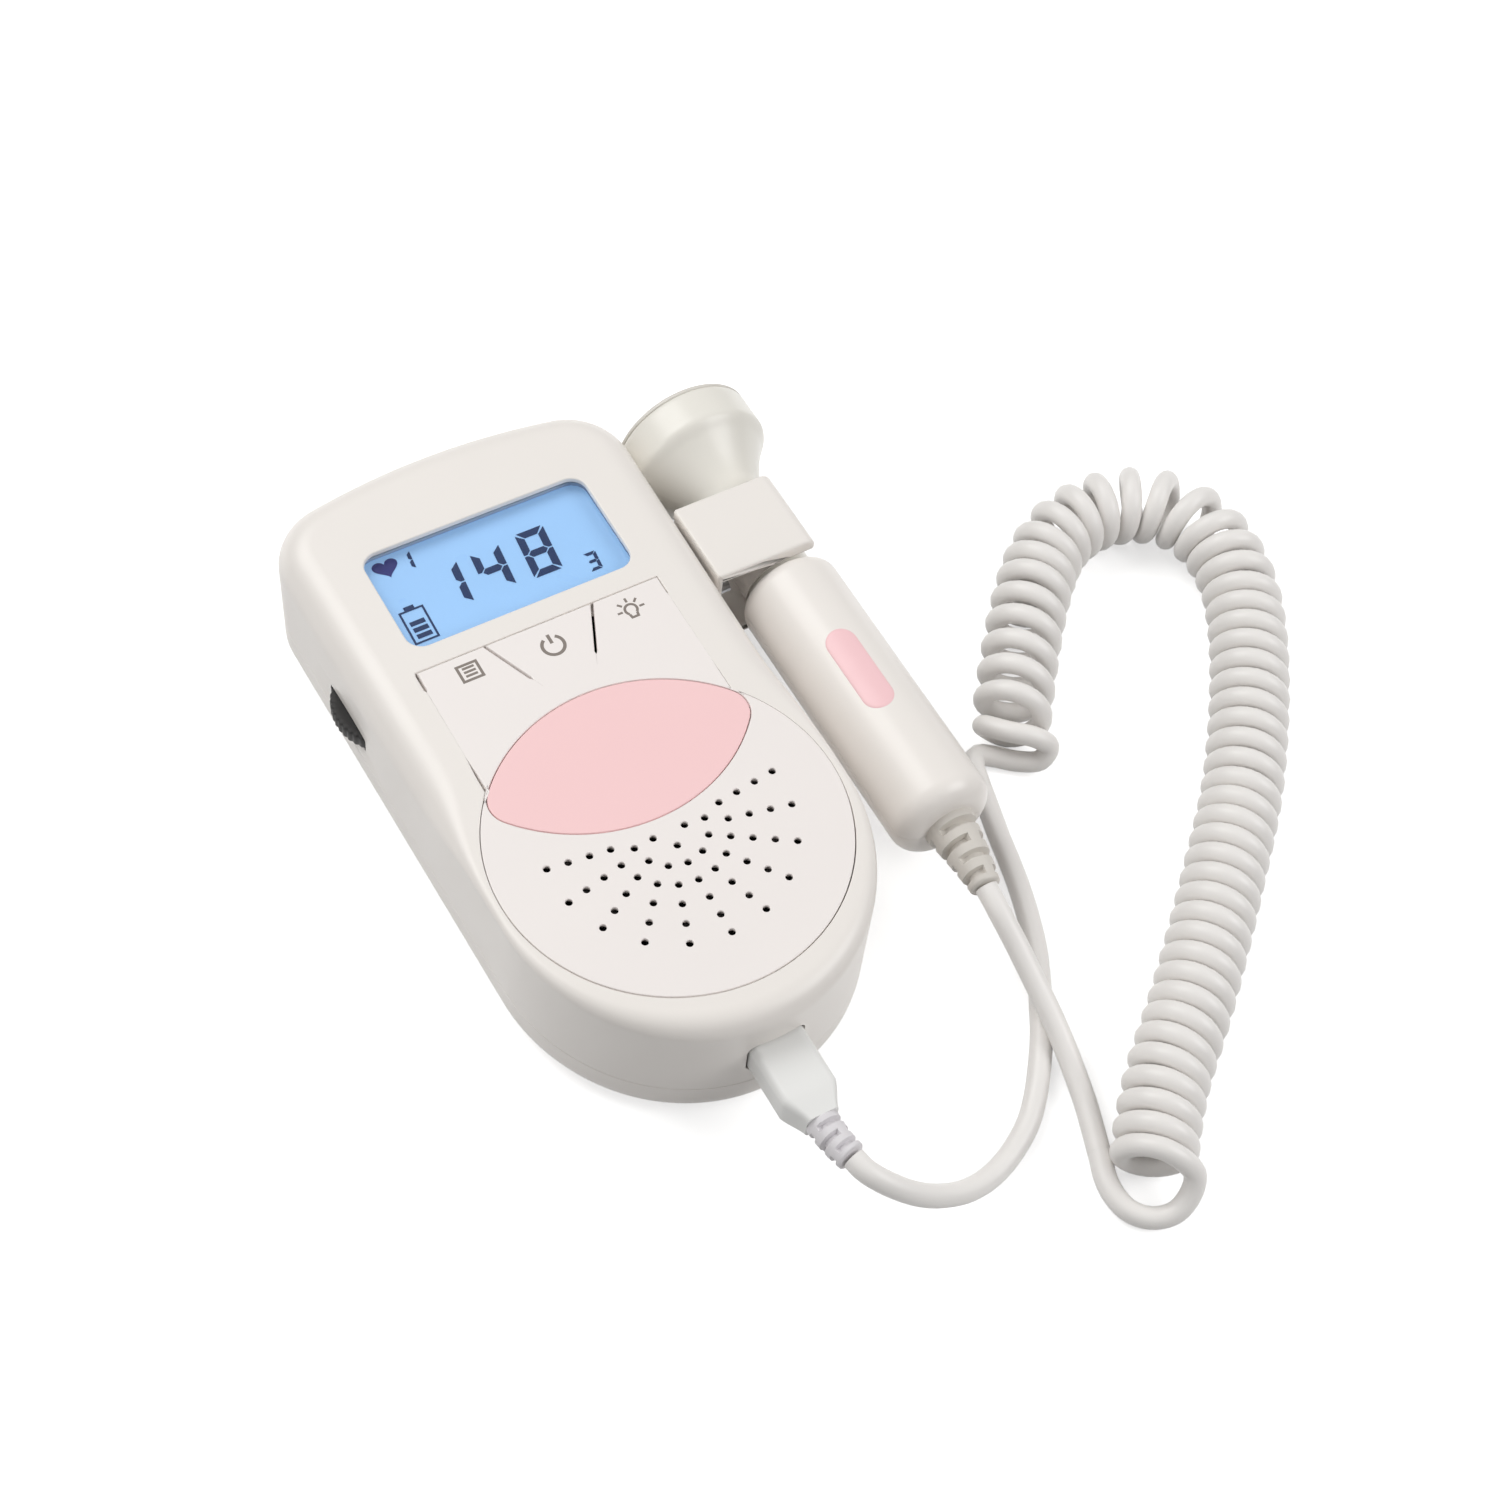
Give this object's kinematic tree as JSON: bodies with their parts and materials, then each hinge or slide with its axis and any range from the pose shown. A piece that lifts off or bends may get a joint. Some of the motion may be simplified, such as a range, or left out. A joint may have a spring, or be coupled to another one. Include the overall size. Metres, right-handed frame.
{
  "type": "fetal doppler",
  "caption": "Handheld fetal heart doppler with a backlit display, speaker grille, clip-held probe and curly cord.",
  "frame": {"origin": "on the rear face, straight below the centre of the speaker holes, with the unit lying on its back", "axes": "+X to the right across the display, towards the probe; +Y up the unit towards the display; +Z out of the front face"},
  "size_m": [0.1806, 0.1895, 0.0304],
  "materials": {
    "cream_plastic": "satin gloss, moulded",
    "pink_plastic": "satin",
    "lens_grey": "fine matt",
    "cord_grey": "satin, slightly glossy jacket",
    "black_plastic": "matt",
    "clear_window": "clear, polished",
    "display_blue": "lit liquid crystal display",
    "white_plastic": "diffusing",
    "board_green": "solder mask",
    "steel": "plated",
    "magnet_grey": "matt",
    "paper_black": "coated paper",
    "foam_grey": "foam",
    "cell_jacket": "printed jacket without print",
    "ceramic": "fired ceramic"
  },
  "bodies": {
    "unit": {"front_cover": "cream_plastic", "rear_cover": "cream_plastic", "face_panel": "cream_plastic", "badge_plate": "pink_plastic", "lcd_window": "clear_window", "lcd_glass": "display_blue", "lcd_backlight": "white_plastic", "lcd_frame": "black_plastic", "main_board": "board_green", "menu_switch": "black_plastic", "power_switch": "black_plastic", "light_switch": "black_plastic", "earphone_jack": "black_plastic", "volume_pot": "steel", "speaker_gasket": "foam_grey", "speaker_frame": "steel", "speaker_cone": "paper_black", "speaker_magnet": "magnet_grey", "battery_left": "cell_jacket", "battery_right": "cell_jacket", "contact_negative": "steel", "contact_positive": "steel", "contact_link": "steel", "spring_negative": "steel", "spring_link": "steel", "housing_screw_1": "steel", "housing_screw_2": "steel", "housing_screw_3": "steel", "housing_screw_4": "steel", "probe_socket": "black_plastic", "socket_board": "board_green", "probe_clip": "cream_plastic", "clip_screw_1": "steel", "clip_screw_2": "steel", "cord_curl": "cord_grey"},
    "key_menu": {"key_menu": "cream_plastic"},
    "key_power": {"key_power": "cream_plastic"},
    "key_light": {"key_light": "cream_plastic"},
    "volume_dial": {"volume_dial": "black_plastic", "volume_shaft": "steel"},
    "battery_door": {"battery_door": "cream_plastic"},
    "probe": {"probe_head": "cream_plastic", "probe_lens": "lens_grey", "piezo_transmitter": "ceramic", "piezo_receiver": "ceramic", "element_holder": "black_plastic", "probe_board": "board_green", "probe_handle_upper": "cream_plastic", "probe_handle_lower": "cream_plastic", "probe_badge": "pink_plastic", "probe_relief": "cream_plastic", "cord_probe_run": "cord_grey"},
    "plug": {"plug_body": "lens_grey", "plug_shell": "steel", "plug_tongue": "black_plastic", "plug_relief": "cord_grey", "cord_plug_run": "cord_grey"}
  },
  "joints": [
    {"name": "key_menu_press", "type": "hinge", "parent": "unit", "child": "key_menu", "pos_m": [0, 0.0365, 0.0291], "axis": [-1, 0, 0], "range_deg": [0, 1.8], "stiffness_Nm_per_rad": 0.3},
    {"name": "key_power_press", "type": "hinge", "parent": "unit", "child": "key_power", "pos_m": [0, 0.0365, 0.0291], "axis": [-1, 0, 0], "range_deg": [0, 1.8], "stiffness_Nm_per_rad": 0.3},
    {"name": "key_light_press", "type": "hinge", "parent": "unit", "child": "key_light", "pos_m": [0, 0.0365, 0.0291], "axis": [-1, 0, 0], "range_deg": [0, 1.8], "stiffness_Nm_per_rad": 0.3},
    {"name": "volume_turn", "type": "hinge", "parent": "unit", "child": "volume_dial", "pos_m": [-0.02693, 0.0562, 0.0145], "axis": [0, 0, 1], "range_deg": [-135, 135]},
    {"name": "battery_door_swing", "type": "hinge", "parent": "unit", "child": "battery_door", "pos_m": [0, 0.086, 0.0002], "axis": [1, 0, 0], "range_deg": [0, 60]},
    {"name": "probe_unclip", "type": "slide", "parent": "unit", "child": "probe", "axis": [1, 0, 0], "range_m": [0, 0.0134], "deforming": ["cord_probe_run"]},
    {"name": "plug_pull", "type": "slide", "parent": "unit", "child": "plug", "axis": [0, -1, 0], "range_m": [0, 0.014], "deforming": ["cord_plug_run"]}
  ]
}
